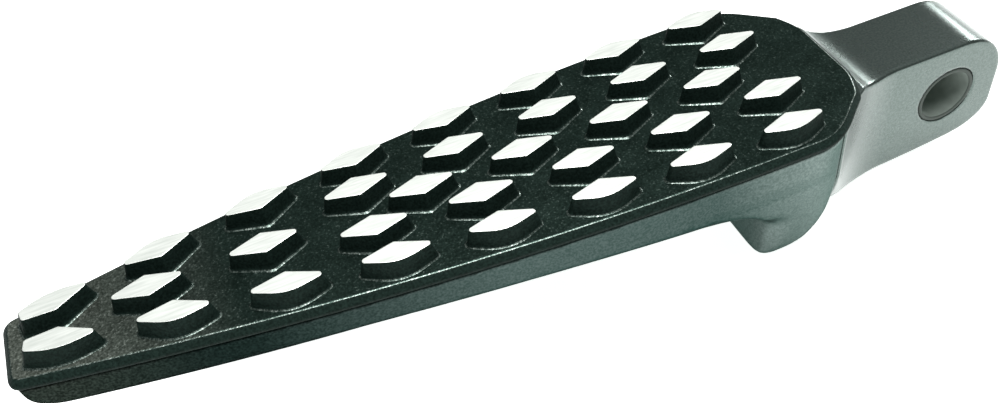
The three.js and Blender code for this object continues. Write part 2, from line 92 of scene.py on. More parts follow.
STUD_HEIGHT = 2.6
TREAD_Z = STUD_TOP_Z - STUD_HEIGHT
PLATE_THICKNESS = 1.3
PLATE_BOTTOM_Z = TREAD_Z - PLATE_THICKNESS
REACH = 30  # well past every piece, for an outline that cuts on one side only

# material slots of the tread plate; the flank slot is painted shade and the edge slot a painted
# highlight line
CAST_FACE, MACHINED_FACE, FLANK_SHADE_FACE, EDGE_HIGHLIGHT_FACE = range(4)

# pad outline: blunt tip, bowed sides, cut corners
TIP_FLAT_Y = 3.6
TIP_SIDE = (TIP_X + 1.6, 5.7)
SIDE_BOW = (-82.4, 16.5)
SIDE_END = (-30.8, 16.4)
CORNER = (-24.2, 13.4)
END_BEND = (-20.6, 10.3)
END_FLAT_Y = 4.9
CORNER_BOW = 3.4
TIP_BOW = 0.3

# rim of the plate from its underside to the tread, as (inset from the outline, height)
RIM = [
    (0.25, PLATE_BOTTOM_Z), (0.06, PLATE_BOTTOM_Z + 0.05), (0.0, PLATE_BOTTOM_Z + 0.18),
    (0.0, TREAD_Z - 0.86), (0.03, TREAD_Z - 0.76), (0.10, TREAD_Z - 0.66),
    (0.56, TREAD_Z - 0.21), (0.66, TREAD_Z - 0.125), (0.77, TREAD_Z - 0.06),
    (0.89, TREAD_Z - 0.017), (1.02, TREAD_Z), (1.14, TREAD_Z),
]
# material slot of each ring of faces, from the underside to the tread; the side and the bevel are
# darkened as painted shade, and the ring above the bevel is a painted highlight line
RIM_KINDS = [FLANK_SHADE_FACE] * 8 + [EDGE_HIGHLIGHT_FACE] + [CAST_FACE] * 2

# studs
STUD_TOP = (9.1, 3.7)  # length and width of a lozenge
STUD_BASE = (10.9, 5.5)
# flank, as (share of the way from the top outline to the base outline, height above the tread)
STUD_FLANK = [
    (1.41, 0.0), (1.38, 0.0), (1.35, 0.007), (1.02, 0.14), (0.87, 0.26), (0.77, 0.45),
    (0.70, 0.70), (0.10, 2.38), (0.02, 2.53), (-0.06, 2.58), (-0.15, STUD_HEIGHT),
    (-0.24, STUD_HEIGHT),
]
# material slot of each ring of faces, from the tread to the machined top; the foot of the fillet
# is a painted highlight line, and the drafted flank is darkened as painted shade
STUD_FLANK_KINDS = [CAST_FACE] + [EDGE_HIGHLIGHT_FACE] * 2 + [FLANK_SHADE_FACE] * 6 + [MACHINED_FACE] * 2
STUD_BASE_GROW = 0.25  # how much rounder the corners of the base outline are
STUD_TIP_ROUND = 0.42
STUD_SIDE_ROUND = 0.5
STUD_ARC_ROUND = 6.0
STUD_CORNER_STEPS = 6
# the two studs next to the tip have a square end, given for the top outline and the base outline
# as (distance from the middle, half width)
BLUNT_ARC_ROUND = 9.0
TIP_STUD_BASE = (10.9, 5.15)
TIP_STUD_END = ((4.05, 0.85), (4.8, 1.35))
OUTER_ROW = {"first": -129.5, "pitch": 13.7, "count": 8, "inset": 3.65}
INNER_ROW = {"first": -89.5, "pitch": 14.3, "count": 5, "crest": 5.95, "fall": 0.19, "at": 3.3}
AXIS_ROW = {"first": -81.7, "pitch": 14.47, "count": 4}
AXIS_TIP_X = (-118.1, -103.1)

# peg body
BODY_INSET = 0.25  # the plate stands this far proud of the body
BODY_WALL = 2.5
DECK_BOTTOM_Z = 9.0
CAVITY_END_X = -44
NOSE_LENGTH = 5.5  # how far the nose rounds back under the tip
SKIRT_BOTTOM_Z = 6.1
SKIRT_FLAT_END_X = -94
SKIRT_DROP = ((-66, 5.3), (-48, 3.6))
HEEL_FLANK_X = -37.7
HEEL_FILLET = ((-39, 2.4), (HEEL_FLANK_X, -1.5))
HEEL_TOE = {"lean": 0.3, "round_z": 1.6, "round_x": 2.2}  # front lower edge of the heel
HEEL_REAR_X = -33.6
HEEL_REAR_BOW = (-28.8, HEEL_BOTTOM_Z + 1.2)
HEEL_REAR_END = (BODY_END_X - 1.2, -3.4)
HEEL_REAR_TOP_Z = 2.4
HEEL_TOP_Z = -0.9  # where the flank of the heel runs out under the skirt
HEEL_FLAT_Y = 9.2
HEEL_CORNER = ((HEEL_FLANK_X, 14.6), (HEEL_FLANK_X + 4.6, 16.2))
HEEL_PLAN_END = (HEEL_FLANK_X + 6, 17)
FOOT_Y = 11.5  # half width of the heel's underside, seen from the end
FOOT_CORNER = ((14.2, HEEL_BOTTOM_Z), (14.5, -7.3))
FLANK_MIDDLE = (16, 4)
FLANK_TOP = (17, 7)
SPINE_HALF_WIDTH = 3.5
RIB = {"first": -74, "pitch": 18, "count": 4, "thickness": 1.6, "bottom": 6.9}
BOSS = {"start": -55, "half": 9, "chamfer": 4, "bottom": -2.7}
SPINE_TIP = (-130, 7.2)
SPINE_MIDDLE = (-95, 6.4)
SPINE_DROP = ((-68, 4.5), (BOSS["start"] + 1, 1))
TREAD_SCREW_PLACES = ((-118.1, 0), (-81.7, 0), (-60.9, 5.6), (-60.9, -5.6))
TREAD_SCREW_HOLE = 1.8  # radius of the hole through the deck
TREAD_SCREW_POCKET = 3.35  # radius of the room round a head
ARM_SCREW_X = -46
ARM_SCREW_POCKET = 5.15
ARM_SCREW_SEAT_Z = -1.5
# radii of the body's edges and fillets, in the order in which they are made
BODY_ROUND = {
    "side": 1.3, "end": 1.0, "recess": 2.5, "heel": 1.6, "top": 0.35, "boss": 1.0, "rib": 0.6,
    "cavity": 0.7, "mouth": 0.6, "pocket": 0.15, "hole": 0.1, "arm_screw": 0.25,
}

# mount arm
TONGUE_HALF_WIDTH = BUSH_HI[1]
TONGUE_CORNER = 8
TONGUE_TOP_Z = 9.3
TONGUE_FLAT_Z = -4.6  # where the flat of the tongue end turns under
FLANGE_HALF_WIDTH = 14
FLANGE_SWEEP = ((-18.2, TONGUE_HALF_WIDTH + 0.4), (-10.5, TONGUE_HALF_WIDTH))
FLANGE_UNDER_Z = -11.5
FLANGE_FOOT_Y = 5.5
FLANGE_UNDER = ((11.8, -7.8), (FLANGE_HALF_WIDTH, 1))
ARM_START_X = BODY_END_X + 0.3
ARM_UNDER_Z = -10.6
ARM_UNDER = ((-14, -11.4), (1, -9.7))
NECK_STEP_X = -13
NECK_TOP_Z = TONGUE_TOP_Z + 0.1
NECK_STEP = ((-16.8, NECK_TOP_Z), (-18.2, BODY_TOP_Z))
NECK_REAR = (-19.2, 12.4)
TENON = {"start": -52, "half": 6, "bottom": 0.2, "top": 8.2}
BORE_RADIUS = 4.9
# radii of the arm's edges, in the order in which they are made
ARM_ROUND = {"side": 0.45, "end": 0.8, "top": 0.3, "root": 0.5, "bore": 0.15}

# pivot bush
BUSH_INNER_RADIUS = 4.2
BUSH_EDGE = 0.2
BUSH_EDGE_MIDDLE = 0.06  # how far the middle of a rounded edge lies from each face
BUSH_SIDES = 96

# screws, by their radii and heights, and washers
TREAD_SCREW = {"shank": 1.5, "socket": 1.0, "socket_depth": 0.9, "head_height": 1.65}
ARM_SCREW = {"shank": 2.5, "socket": 1.5, "socket_depth": 1.6, "head_height": 2.75}
SCREW_SIDES = 48
SCREW_FACE_SHARE = 0.6  # flat middle of the domed head, as a share of its radius
DOME_STEPS = 8
DOME_BULGE = (0.25, 0.85)  # heights of the dome's curve, as shares of the head's height
SCREW_EDGE = 0.06
SCREW_FILLET = 0.15
THREAD_PITCH_SHARE = 0.32
THREAD_ROOT_SHARE = 0.88
THREAD_START = 1.0  # plain shank left under the head
THREAD_END = 0.6  # and at the tip
WASHER_INNER_SHARE = 0.66
WASHER_EDGE = 0.08
WASHER_GAP = 0.12  # half the split, in radians
WASHER_LIFT = 0.12  # how far the two ends stand apart
WASHER_STEPS = 60

BODY_CELL = (1.0, 0.5)
ARM_CELL = (0.8, 0.36)
CELL_MARGIN = 2.3  # cells of room round a piece
SLOPE_STEP = 0.02  # how far apart the field is read for its slope
SETTLE_PASSES = 4  # moves of each vertex onto the surface

# ---------------------------------------------------------------- finishes, in metres

# patches of noise per metre
SAND = 3800
FINE_GRAIN = 3200
CLOUDS = 180

# where along X one finish, or one band of painted shade or painted light, turns into the next
TREAD_WORN = (-0.138, -0.108)
# the tip's sandy skin, darkened as painted shade
BODY_SANDY_AND_SHADE = (-0.131, -0.113)
BODY_DULL = (-0.128, -0.07)
# painted shade: the body turns nearly black behind the tip
BODY_PAINTED_SHADE = (-0.108, -0.076)
# painted light: the body turns lighter towards the heel
BODY_HEEL_PAINTED_LIGHT = (-0.046, -0.026)


# ---------------------------------------------------------------- curves


def bezier(start, control, end, steps):
    """Points on a quadratic curve, without its first one."""
    t = np.linspace(0, 1, steps + 1)[1:, None]
    a, b, c = (np.array(p, float) for p in (start, control, end))
    return (1 - t) ** 2 * a + 2 * t * (1 - t) * b + t**2 * c


def path(start, *parts):
    """A polyline from points and from (control, end, steps) curves."""
    points = [np.array([start], float)]
    for part in parts:
        if len(part) == 3:
            points.append(bezier(points[-1][-1], *part))
        else:
            points.append(np.array([part], float))
    return np.vstack(points)


def pad_outline():
    """The pad seen from above, anticlockwise."""
    half = path(
        (TIP_X, TIP_FLAT_Y),
        ((TIP_X, TIP_SIDE[1] - TIP_BOW), TIP_SIDE, 8),
        (SIDE_BOW, SIDE_END, 48),
        ((CORNER[0] - CORNER_BOW, SIDE_END[1]), CORNER, 14),
        END_BEND,
        ((END_X, END_BEND[1] - CORNER_BOW), (END_X, END_FLAT_Y), 12),
    )
    return np.vstack([half * (1, -1), half[::-1]])


def inset(points, distance):
    """A closed anticlockwise polyline moved inwards along its own normals."""
    ahead = np.roll(points, -1, axis=0) - points
    behind = points - np.roll(points, 1, axis=0)
    ahead /= np.linalg.norm(ahead, axis=1, keepdims=True)
    behind /= np.linalg.norm(behind, axis=1, keepdims=True)
    tangent = ahead + behind
    tangent /= np.linalg.norm(tangent, axis=1, keepdims=True)
    normal = np.column_stack([-tangent[:, 1], tangent[:, 0]])
    stretch = 1 / np.maximum((tangent * ahead).sum(1, keepdims=True), 0.5)
    return points + normal * distance * stretch


def side_at(x):
    """Half width and heading of the pad's bowed side at an X."""
    (x0, y0), (x1, y1), (x2, y2) = TIP_SIDE, SIDE_BOW, SIDE_END
    t = (x - x0) / (x2 - x0)
    y = (1 - t) ** 2 * y0 + 2 * t * (1 - t) * y1 + t**2 * y2
    slope_x = (1 - t) * (x1 - x0) + t * (x2 - x1)
    slope_y = (1 - t) * (y1 - y0) + t * (y2 - y1)
    return y, math.atan2(slope_y, slope_x)


def rounded(corners, radii, steps):
    """A closed polyline with each corner turned into an arc of steps pieces."""
    points = []
    count = len(corners)
    for i, (corner, radius) in enumerate(zip(corners, radii)):
        to_last = corners[i - 1] - corner
        to_next = corners[(i + 1) % count] - corner
        to_last /= np.linalg.norm(to_last)
        to_next /= np.linalg.norm(to_next)
        half = math.acos(np.clip(to_last @ to_next, -1, 1)) / 2
        middle = to_last + to_next
        middle /= np.linalg.norm(middle)
        centre = corner + middle * radius / math.sin(half)
        first = corner + to_last * radius / math.tan(half) - centre
        sweep = math.pi - 2 * half
        for k in range(steps + 1):
            a = sweep * k / steps
            c, s = math.cos(a), math.sin(a)
            points.append(centre + (first[0] * c - first[1] * s, first[0] * s + first[1] * c))
    return np.array(points)


def stud_outline(size, grow, arc_side, blunt_end):
    """A lozenge with small round tips. arc_side (-1, 0 or 1) is the side that is one smooth arc,
    or 0 for none. blunt_end (distance from the middle, half width) or None takes the place of
    the tip on the -X side."""
    length, width = size
    tip = STUD_TIP_ROUND + grow
    arc = BLUNT_ARC_ROUND if blunt_end else STUD_ARC_ROUND
    side = [arc if arc_side == s else STUD_SIDE_ROUND for s in (1, -1)]
    reach = length / 2 + STUD_TIP_ROUND / math.sin(math.atan2(width, length)) - STUD_TIP_ROUND
    end, end_radii = [(-reach, 0)], [tip]
    if blunt_end:
        end = [(-blunt_end[0], blunt_end[1]), (-blunt_end[0], -blunt_end[1])]
        end_radii = [STUD_TIP_ROUND, STUD_TIP_ROUND]
    corners = np.array([(reach, 0), (0, width / 2), *end, (0, -width / 2)], float)
    return rounded(corners, [tip, side[0] + grow, *end_radii, side[1] + grow], STUD_CORNER_STEPS)


def stud_places():
    """(x, y, heading, arc side) of every stud."""
    axis_x = [AXIS_ROW["first"] + i * AXIS_ROW["pitch"] for i in range(AXIS_ROW["count"])]
    places = [(x, 0, 0, 0) for x in (*AXIS_TIP_X, *axis_x)]
    for side in (-1, 1):
        for i in range(OUTER_ROW["count"]):
            x = OUTER_ROW["first"] + i * OUTER_ROW["pitch"]
            y, heading = side_at(x)
            places.append((x, side * (y - OUTER_ROW["inset"]), side * heading, side))
        for i in range(INNER_ROW["count"]):
            x = INNER_ROW["first"] + i * INNER_ROW["pitch"]
            y = INNER_ROW["crest"] - INNER_ROW["fall"] * (INNER_ROW["at"] - i) ** 2
            places.append((x, side * y, side * side_at(x)[1] / 2, 0))
    return places


# ---------------------------------------------------------------- distance fields


def outline_distance(points, u, v):
    """Signed distance to a closed polyline, negative inside. u and v broadcast."""
    u, v = np.broadcast_arrays(u, v)
    nearest = np.full(u.shape, np.inf)
    inside = np.zeros(u.shape, bool)
    for (au, av), (bu, bv) in zip(points, np.roll(points, -1, axis=0)):
        eu, ev = bu - au, bv - av
        wu, wv = u - au, v - av
        t = np.clip((wu * eu + wv * ev) / (eu * eu + ev * ev), 0, 1)
        nearest = np.minimum(nearest, (wu - t * eu) ** 2 + (wv - t * ev) ** 2)
        if ev != 0:
            inside ^= ((av > v) != (bv > v)) & (u < eu * wv / ev + au)
    return np.sqrt(nearest) * np.where(inside, -1.0, 1.0)


def both(a, b, radius):
    """Where a and b overlap, with a round edge of that radius."""
    outside = np.sqrt(np.maximum(a + radius, 0) ** 2 + np.maximum(b + radius, 0) ** 2)
    return np.minimum(np.maximum(a, b), -radius) + outside


def either(a, b, radius):
    """a and b joined, with a round fillet of that radius."""
    return -both(-a, -b, radius)


def without(a, b, radius):
    """a with b cut away, with a round edge of that radius."""
    return both(a, -b, radius)


def slab(value, low, high):
    return np.maximum(low - value, value - high)


def mesh_from_field(field, low, high, cell):
    """Quads round the field's zero surface, with every vertex moved exactly onto it."""
    margin = CELL_MARGIN * cell
    low = np.array(low, float) - margin
    count = np.ceil((np.array(high, float) + margin - low) / cell).astype(int) + 1
    ticks = [low[k] + cell * np.arange(count[k]) for k in range(3)]
    value = field(ticks[0][:, None, None], ticks[1][None, :, None], ticks[2][None, None, :])
    value = np.ascontiguousarray(np.broadcast_to(value, count))
    total = int(np.prod(count))
    sums = np.zeros((3, total))
    hits = np.zeros(total)
    quads = []
    for axis in range(3):
        second, third = (axis + 1) % 3, (axis + 2) % 3
        step = np.zeros(3, int)
        step[axis] = 1
        first_part = [slice(None)] * 3
        last_part = [slice(None)] * 3
        first_part[axis] = slice(0, -1)
        last_part[axis] = slice(1, None)
        start, end = value[tuple(first_part)], value[tuple(last_part)]
        at = np.argwhere((start < 0) != (end < 0))
        a, b = start[tuple(at.T)], end[tuple(at.T)]
        crossing = low + cell * (at + (a / (a - b))[:, None] * step)
        ring = []
        for back_second, back_third in ((0, 0), (1, 0), (1, 1), (0, 1)):
            home = at.copy()
            home[:, second] -= back_second
            home[:, third] -= back_third
            flat = np.ravel_multi_index(tuple(home.T), tuple(count))
            hits += np.bincount(flat, minlength=total)
            for k in range(3):
                sums[k] += np.bincount(flat, crossing[:, k], minlength=total)
            ring.append(flat)
        ring = np.column_stack(ring)
        ring[a > 0] = ring[a > 0][:, ::-1]
        quads.append(ring)
    quads = np.vstack(quads)
    used = np.flatnonzero(hits)
    number = np.zeros(total, int)
    number[used] = np.arange(len(used))
    points = (sums[:, used] / hits[used]).T
    for _ in range(SETTLE_PASSES):
        here = field(*points.T)
        slope = np.empty_like(points)
        for k in range(3):
            aside = points.copy()
            aside[:, k] += SLOPE_STEP
            slope[:, k] = field(*aside.T)
            aside[:, k] -= 2 * SLOPE_STEP
            slope[:, k] = (slope[:, k] - field(*aside.T)) / (2 * SLOPE_STEP)
        steep = np.maximum((slope**2).sum(1), 0.25)
        move = slope * (here / steep)[:, None]
        points -= np.clip(move, -cell / 3, cell / 3)
    return points, number[quads]


# ---------------------------------------------------------------- meshes


def add_piece(name, points, faces, body, materials, stands_for, face_materials=None):
    """A smooth-shaded mesh from millimetre points, riding on a CAD body in a CAD node's place."""
    mesh = bpy.data.meshes.new(name)
    mesh.from_pydata((np.asarray(points) * MM).tolist(), [], [list(map(int, f)) for f in faces])
    mesh.shade_smooth()
    for material in materials:
        mesh.materials.append(material)
    if face_materials is not None:
        mesh.polygons.foreach_set("material_index", np.asarray(face_materials, np.int32))
    mesh.update()
    piece = bpy.data.objects.new(name, mesh)
    bpy.context.scene.collection.objects.link(piece)
    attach(piece, body)
    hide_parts(stands_for)


def ring_faces(lower, upper, count):
    """Quads between two rings of count points that start at these numbers."""
    return [
        (lower + i, lower + (i + 1) % count, upper + (i + 1) % count, upper + i)
        for i in range(count)
    ]


def turned(profile, sides, closed):
    """A lathed shape about Z from (radius, height, is hexagonal) rings, listed anticlockwise."""
    points, faces = [], []
    for radius, height, hexagonal in profile:
        for i in range(sides):
            a = 2 * math.pi * i / sides
            reach = radius
            if hexagonal:
                reach = radius / math.cos((a + math.pi / 6) % (math.pi / 3) - math.pi / 6)
            points.append((reach * math.cos(a), reach * math.sin(a), height))
    rings = len(profile)
    for k in range(rings if closed else rings - 1):
        faces += ring_faces(k * sides, (k + 1) % rings * sides, sides)
    if not closed:
        for height, ring, flip in ((profile[0][1], 0, True), (profile[-1][1], rings - 1, False)):
            points.append((0, 0, height))
            for i in range(sides):
                face = (ring * sides + i, ring * sides + (i + 1) % sides, len(points) - 1)
                faces.append(face[::-1] if flip else face)
    return np.array(points), faces


def tread_plate_mesh():
    """The rim, the tread with its studs, and the underside, as one closed mesh."""
    outline = pad_outline()
    around = len(outline)
    points, faces, kinds = [], [], []
    for distance, height in RIM:
        loop = inset(outline, distance)
        points += [(x, y, height) for x, y in loop]
    for k in range(len(RIM) - 1):
        faces += ring_faces(k * around, (k + 1) * around, around)
        kinds += [RIM_KINDS[k]] * around
    faces.append(tuple(range(around))[::-1])
    kinds.append(CAST_FACE)
    loops = [list(range((len(RIM) - 1) * around, len(RIM) * around))]
    for x, y, heading, arc_side in stud_places():
        blunt = x == OUTER_ROW["first"]
        top_end, base_end = TIP_STUD_END if blunt else (None, None)
        top = stud_outline(STUD_TOP, 0, arc_side, top_end)
        base_size = TIP_STUD_BASE if blunt else STUD_BASE
        base = stud_outline(base_size, STUD_BASE_GROW, arc_side, base_end)
        c, s = math.cos(heading), math.sin(heading)
        turn = np.array(((c, s), (-s, c)))
        size = len(top)
        start = len(points)
        for share, height in STUD_FLANK:
            loop = (top + (base - top) * share) @ turn + (x, y)
            points += [(u, v, TREAD_Z + height) for u, v in loop]
        loops.append(list(range(start, start + size)))
        for k in range(len(STUD_FLANK) - 1):
            faces += ring_faces(start + k * size, start + (k + 1) * size, size)
            kinds += [STUD_FLANK_KINDS[k]] * size
        last = start + (len(STUD_FLANK) - 1) * size
        faces.append(tuple(range(last, last + size)))
        kinds.append(MACHINED_FACE)
    numbers = [n for loop in loops for n in loop]
    flat = [Vector(points[n][:2]) for n in numbers]
    cuts, at = [], 0
    for loop in loops:
        cuts.append(list(range(at, at + len(loop))))
        at += len(loop)
    _, _, triangles, from_points, _, from_faces = delaunay_2d_cdt(flat, [], cuts, 1, 1e-6, True)
    for triangle, origin in zip(triangles, from_faces):
        if origin == [0]:
            faces.append(tuple(numbers[from_points[i][0]] for i in triangle))
            kinds.append(CAST_FACE)
    return np.array(points), faces, kinds


# ---------------------------------------------------------------- fields of the two castings

PAD = pad_outline()

BODY_SIDE = path(
    (TIP_X - 1, REACH), (TIP_X - 1, 12), (TIP_X, 10.5),
    ((TIP_X + TIP_BOW, SKIRT_BOTTOM_Z), (TIP_X + NOSE_LENGTH, SKIRT_BOTTOM_Z), 14),
    (SKIRT_FLAT_END_X, SKIRT_BOTTOM_Z),
    (*SKIRT_DROP, 24),
    (*HEEL_FILLET, 14),
    (HEEL_FLANK_X + HEEL_TOE["lean"], HEEL_BOTTOM_Z + HEEL_TOE["round_z"]),
    (
        (HEEL_FLANK_X + HEEL_TOE["lean"] + 0.1, HEEL_BOTTOM_Z),
        (HEEL_FLANK_X + HEEL_TOE["round_x"], HEEL_BOTTOM_Z),
        8,
    ),
    (HEEL_REAR_X, HEEL_BOTTOM_Z),
    (HEEL_REAR_BOW, HEEL_REAR_END, 14),
    (BODY_END_X, HEEL_REAR_TOP_Z), (BODY_END_X, REACH),
)
BODY_HALF_END = path(
    (0, HEEL_BOTTOM_Z), (FOOT_Y, HEEL_BOTTOM_Z), (*FOOT_CORNER, 10),
    FLANK_MIDDLE, FLANK_TOP, (FLANK_TOP[0], REACH),
)
BODY_END = np.vstack([BODY_HALF_END, BODY_HALF_END[1:][::-1] * (-1, 1)])
HEEL_PLAN = path(
    (HEEL_FLANK_X, 0), (HEEL_FLANK_X, HEEL_FLAT_Y), (*HEEL_CORNER, 16),
    HEEL_PLAN_END, (HEEL_PLAN_END[0], REACH), (0, REACH), (0, 0),
)
SPINE_SIDE = path(
    (SPINE_TIP[0], 12), SPINE_TIP, SPINE_MIDDLE, (*SPINE_DROP, 16), (SPINE_DROP[1][0], 12),
)
ARM_SIDE = path(
    (ARM_START_X - 5, REACH), (ARM_START_X - 5, ARM_UNDER_Z), (ARM_START_X, ARM_UNDER_Z),
    (*ARM_UNDER, 20),
    ((ARM_END_X - 0.6, -9), (ARM_END_X, TONGUE_FLAT_Z), 12),
    *[
        (ARM_END_X - TONGUE_CORNER + TONGUE_CORNER * math.cos(a),
         TONGUE_TOP_Z - TONGUE_CORNER + TONGUE_CORNER * math.sin(a))
        for a in np.linspace(0, math.pi / 2, 17)
    ],
    (NECK_STEP_X, NECK_TOP_Z),
    (*NECK_STEP, 12), NECK_REAR, (NECK_REAR[0], REACH),
)
ARM_HALF_PLAN = path(
    (ARM_START_X - 5, 0), (ARM_START_X - 5, FLANGE_HALF_WIDTH), (ARM_START_X, FLANGE_HALF_WIDTH),
    (*FLANGE_SWEEP, 24),
    (ARM_END_X + 5, TONGUE_HALF_WIDTH), (ARM_END_X + 5, 0),
)
ARM_PLAN = np.vstack([ARM_HALF_PLAN, ARM_HALF_PLAN[1:-1][::-1] * (1, -1)])
ARM_HALF_END = path(
    (0, FLANGE_UNDER_Z), (FLANGE_FOOT_Y, FLANGE_UNDER_Z), (*FLANGE_UNDER, 14),
    (FLANGE_HALF_WIDTH, REACH), (0, REACH),
)
ARM_END = np.vstack([ARM_HALF_END, ARM_HALF_END[1:-1][::-1] * (-1, 1)])


def body_field(x, y, z):
    """The peg body: skirt, deck and heel, with the cavity, its ribs and the screw pockets."""
    side = np.abs(y)
    plan = outline_distance(PAD, x, y) + BODY_INSET
    profile = outline_distance(BODY_SIDE, x, z)
    body = both(plan, profile, BODY_ROUND["side"])
    body = both(body, outline_distance(BODY_END, y, z), BODY_ROUND["end"])
    beside_heel = -outline_distance(HEEL_PLAN, x, side)
    recess = both(beside_heel, z - HEEL_TOP_Z, BODY_ROUND["recess"])
    body = without(body, recess, BODY_ROUND["heel"])
    body = both(body, z - BODY_TOP_Z, BODY_ROUND["top"])
    cavity = np.maximum(np.maximum(plan + BODY_WALL, z - DECK_BOTTOM_Z), x - CAVITY_END_X)
    spine = np.maximum(side - SPINE_HALF_WIDTH, outline_distance(SPINE_SIDE, x, z))
    boss = np.maximum(side - BOSS["half"], BOSS["bottom"] - z)
    corner = (side - z - (BOSS["half"] - BOSS["bottom"] - BOSS["chamfer"])) / math.sqrt(2)
    boss = np.maximum(np.maximum(boss, corner), slab(x, BOSS["start"], HEEL_FLANK_X + 1))
    ribs = either(spine, boss, BODY_ROUND["boss"])
    for i in range(RIB["count"]):
        start = RIB["first"] - i * RIB["pitch"]
        rib = np.maximum(slab(x, start, start + RIB["thickness"]), RIB["bottom"] - z)
        ribs = either(ribs, np.maximum(rib, plan + 1), BODY_ROUND["rib"])
    body = without(body, without(cavity, ribs, BODY_ROUND["cavity"]), BODY_ROUND["mouth"])
    for place_x, place_y in TREAD_SCREW_PLACES:
        away = np.sqrt((x - place_x) ** 2 + (y - place_y) ** 2)
        pocket = np.maximum(away - TREAD_SCREW_POCKET, z - DECK_BOTTOM_Z)
        body = without(body, pocket, BODY_ROUND["pocket"])
        body = without(body, away - TREAD_SCREW_HOLE, BODY_ROUND["hole"])
    away = np.sqrt((x - ARM_SCREW_X) ** 2 + y**2)
    pocket = np.maximum(away - ARM_SCREW_POCKET, z - ARM_SCREW_SEAT_Z)
    return without(body, pocket, BODY_ROUND["arm_screw"])


def arm_field(x, y, z):
    """The mount arm: flared flange, neck and bored tongue, with its tenon."""
    side = np.abs(y)
    plan = outline_distance(ARM_PLAN, x, y)
    arm = both(plan, outline_distance(ARM_SIDE, x, z), ARM_ROUND["side"])
    arm = both(arm, outline_distance(ARM_END, y, z), ARM_ROUND["end"])
    arm = both(arm, z - BODY_TOP_Z, ARM_ROUND["top"])
    arm = both(arm, ARM_START_X - x, ARM_ROUND["root"])
    tenon = np.maximum(slab(x, TENON["start"], ARM_START_X + 1), side - TENON["half"])
    tenon = np.maximum(tenon, slab(z, TENON["bottom"], TENON["top"]))
    arm = np.minimum(arm, tenon)
    return without(arm, np.sqrt(x**2 + z**2) - BORE_RADIUS, ARM_ROUND["bore"])


# ---------------------------------------------------------------- materials


def new_material(name, colour, metallic, roughness):
    material = bpy.data.materials.new(name)
    material.use_nodes = True
    shader = material.node_tree.nodes["Principled BSDF"]
    shader.inputs["Base Color"].default_value = (*colour, 1)
    shader.inputs["Metallic"].default_value = metallic
    shader.inputs["Roughness"].default_value = roughness
    return material, material.node_tree, shader


def noise(tree, scale, detail=2.0, stretch=None):
    """A noise texture fixed to the piece. scale is in patches per metre."""
    place = tree.nodes.new("ShaderNodeTexCoord")
    texture = tree.nodes.new("ShaderNodeTexNoise")
    texture.inputs["Scale"].default_value = scale
    texture.inputs["Detail"].default_value = detail
    source = place.outputs["Object"]
    if stretch:
        mapping = tree.nodes.new("ShaderNodeMapping")
        mapping.inputs["Scale"].default_value = stretch
        tree.links.new(source, mapping.inputs["Vector"])
        source = mapping.outputs["Vector"]
    tree.links.new(source, texture.inputs["Vector"])
    return texture.outputs["Fac"]


def ramp(tree, source, stops):
    """A colour ramp from (position, colour) stops."""
    node = tree.nodes.new("ShaderNodeValToRGB")
    elements = node.color_ramp.elements
    while len(elements) < len(stops):
        elements.new(0.5)
    for element, (position, colour) in zip(elements, stops):
        element.position = position
        element.color = (*colour, 1)
    tree.links.new(source, node.inputs["Fac"])
    return node.outputs["Color"]


def spread(tree, source, low, high, from_low=0.3, from_high=0.7):
    """A value mapped from one range to another."""
    node = tree.nodes.new("ShaderNodeMapRange")
    node.inputs["From Min"].default_value = from_low
    node.inputs["From Max"].default_value = from_high
    node.inputs["To Min"].default_value = low
    node.inputs["To Max"].default_value = high
    tree.links.new(source, node.inputs["Value"])
    return node.outputs["Result"]


def bump(tree, shader, layers):
    """Bump from (height source, depth in millimetres, strength) layers."""
    last = None
    for source, depth, strength in layers:
        node = tree.nodes.new("ShaderNodeBump")
        node.inputs["Distance"].default_value = depth * MM
        node.inputs["Strength"].default_value = strength
        tree.links.new(source, node.inputs["Height"])
        if last is not None:
            tree.links.new(last, node.inputs["Normal"])
        last = node.outputs["Normal"]
    tree.links.new(last, shader.inputs["Normal"])


def along_peg(tree, at_tip, beyond, start, end):
    """A colour that changes from at_tip to beyond between two X places, in metres."""
    place = tree.nodes.new("ShaderNodeTexCoord")
    split = tree.nodes.new("ShaderNodeSeparateXYZ")
    tree.links.new(place.outputs["Object"], split.inputs["Vector"])
    mix = tree.nodes.new("ShaderNodeMix")
    mix.data_type = "RGBA"
    tree.links.new(spread(tree, split.outputs["X"], 0.0, 1.0, start, end), mix.inputs["Factor"])
    tree.links.new(at_tip, mix.inputs["A"])
    tree.links.new(beyond, mix.inputs["B"])
    return mix.outputs["Result"]


def cast_material():
    """Grained black anodised casting, worn to grey metal at the tip."""
    material, tree, shader = new_material("cast_black", (0.02, 0.03, 0.026), 0.75, 0.36)
    shader.inputs["Specular Tint"].default_value = (0.5, 0.56, 0.54, 1)
    grain = noise(tree, SAND, 3)
    patches = noise(tree, 260, 2)
    colour = ramp(tree, grain, [(0.35, (0.005, 0.012, 0.009)), (0.62, (0.015, 0.028, 0.023)),
                                (0.78, (0.1, 0.13, 0.115))])
    worn = ramp(tree, grain, [(0.35, (0.06, 0.07, 0.058)), (0.6, (0.16, 0.18, 0.155)),
                              (0.75, (0.4, 0.43, 0.39))])
    colour = along_peg(tree, worn, colour, *TREAD_WORN)
    tree.links.new(colour, shader.inputs["Base Color"])
    tree.links.new(spread(tree, patches, 0.3, 0.42), shader.inputs["Roughness"])
    bump(tree, shader, [(grain, 0.06, 0.6), (noise(tree, 1300, 2), 0.06, 0.35)])
    return material


def highlight_line_material():
    """The foot of a stud's fillet and the crease of the plate's rim, painted brighter than the
    tread as a painted highlight line.
    """
    material, tree, shader = new_material("cast_edge_painted_highlight", (0.08, 0.1, 0.09), 0.85, 0.34)
    grain = noise(tree, SAND, 3)
    colour = ramp(tree, grain, [(0.38, (0.02, 0.034, 0.028)), (0.6, (0.13, 0.16, 0.145)),
                                (0.75, (0.4, 0.44, 0.41))])
    tree.links.new(colour, shader.inputs["Base Color"])
    bump(tree, shader, [(grain, 0.05, 0.5)])
    return material


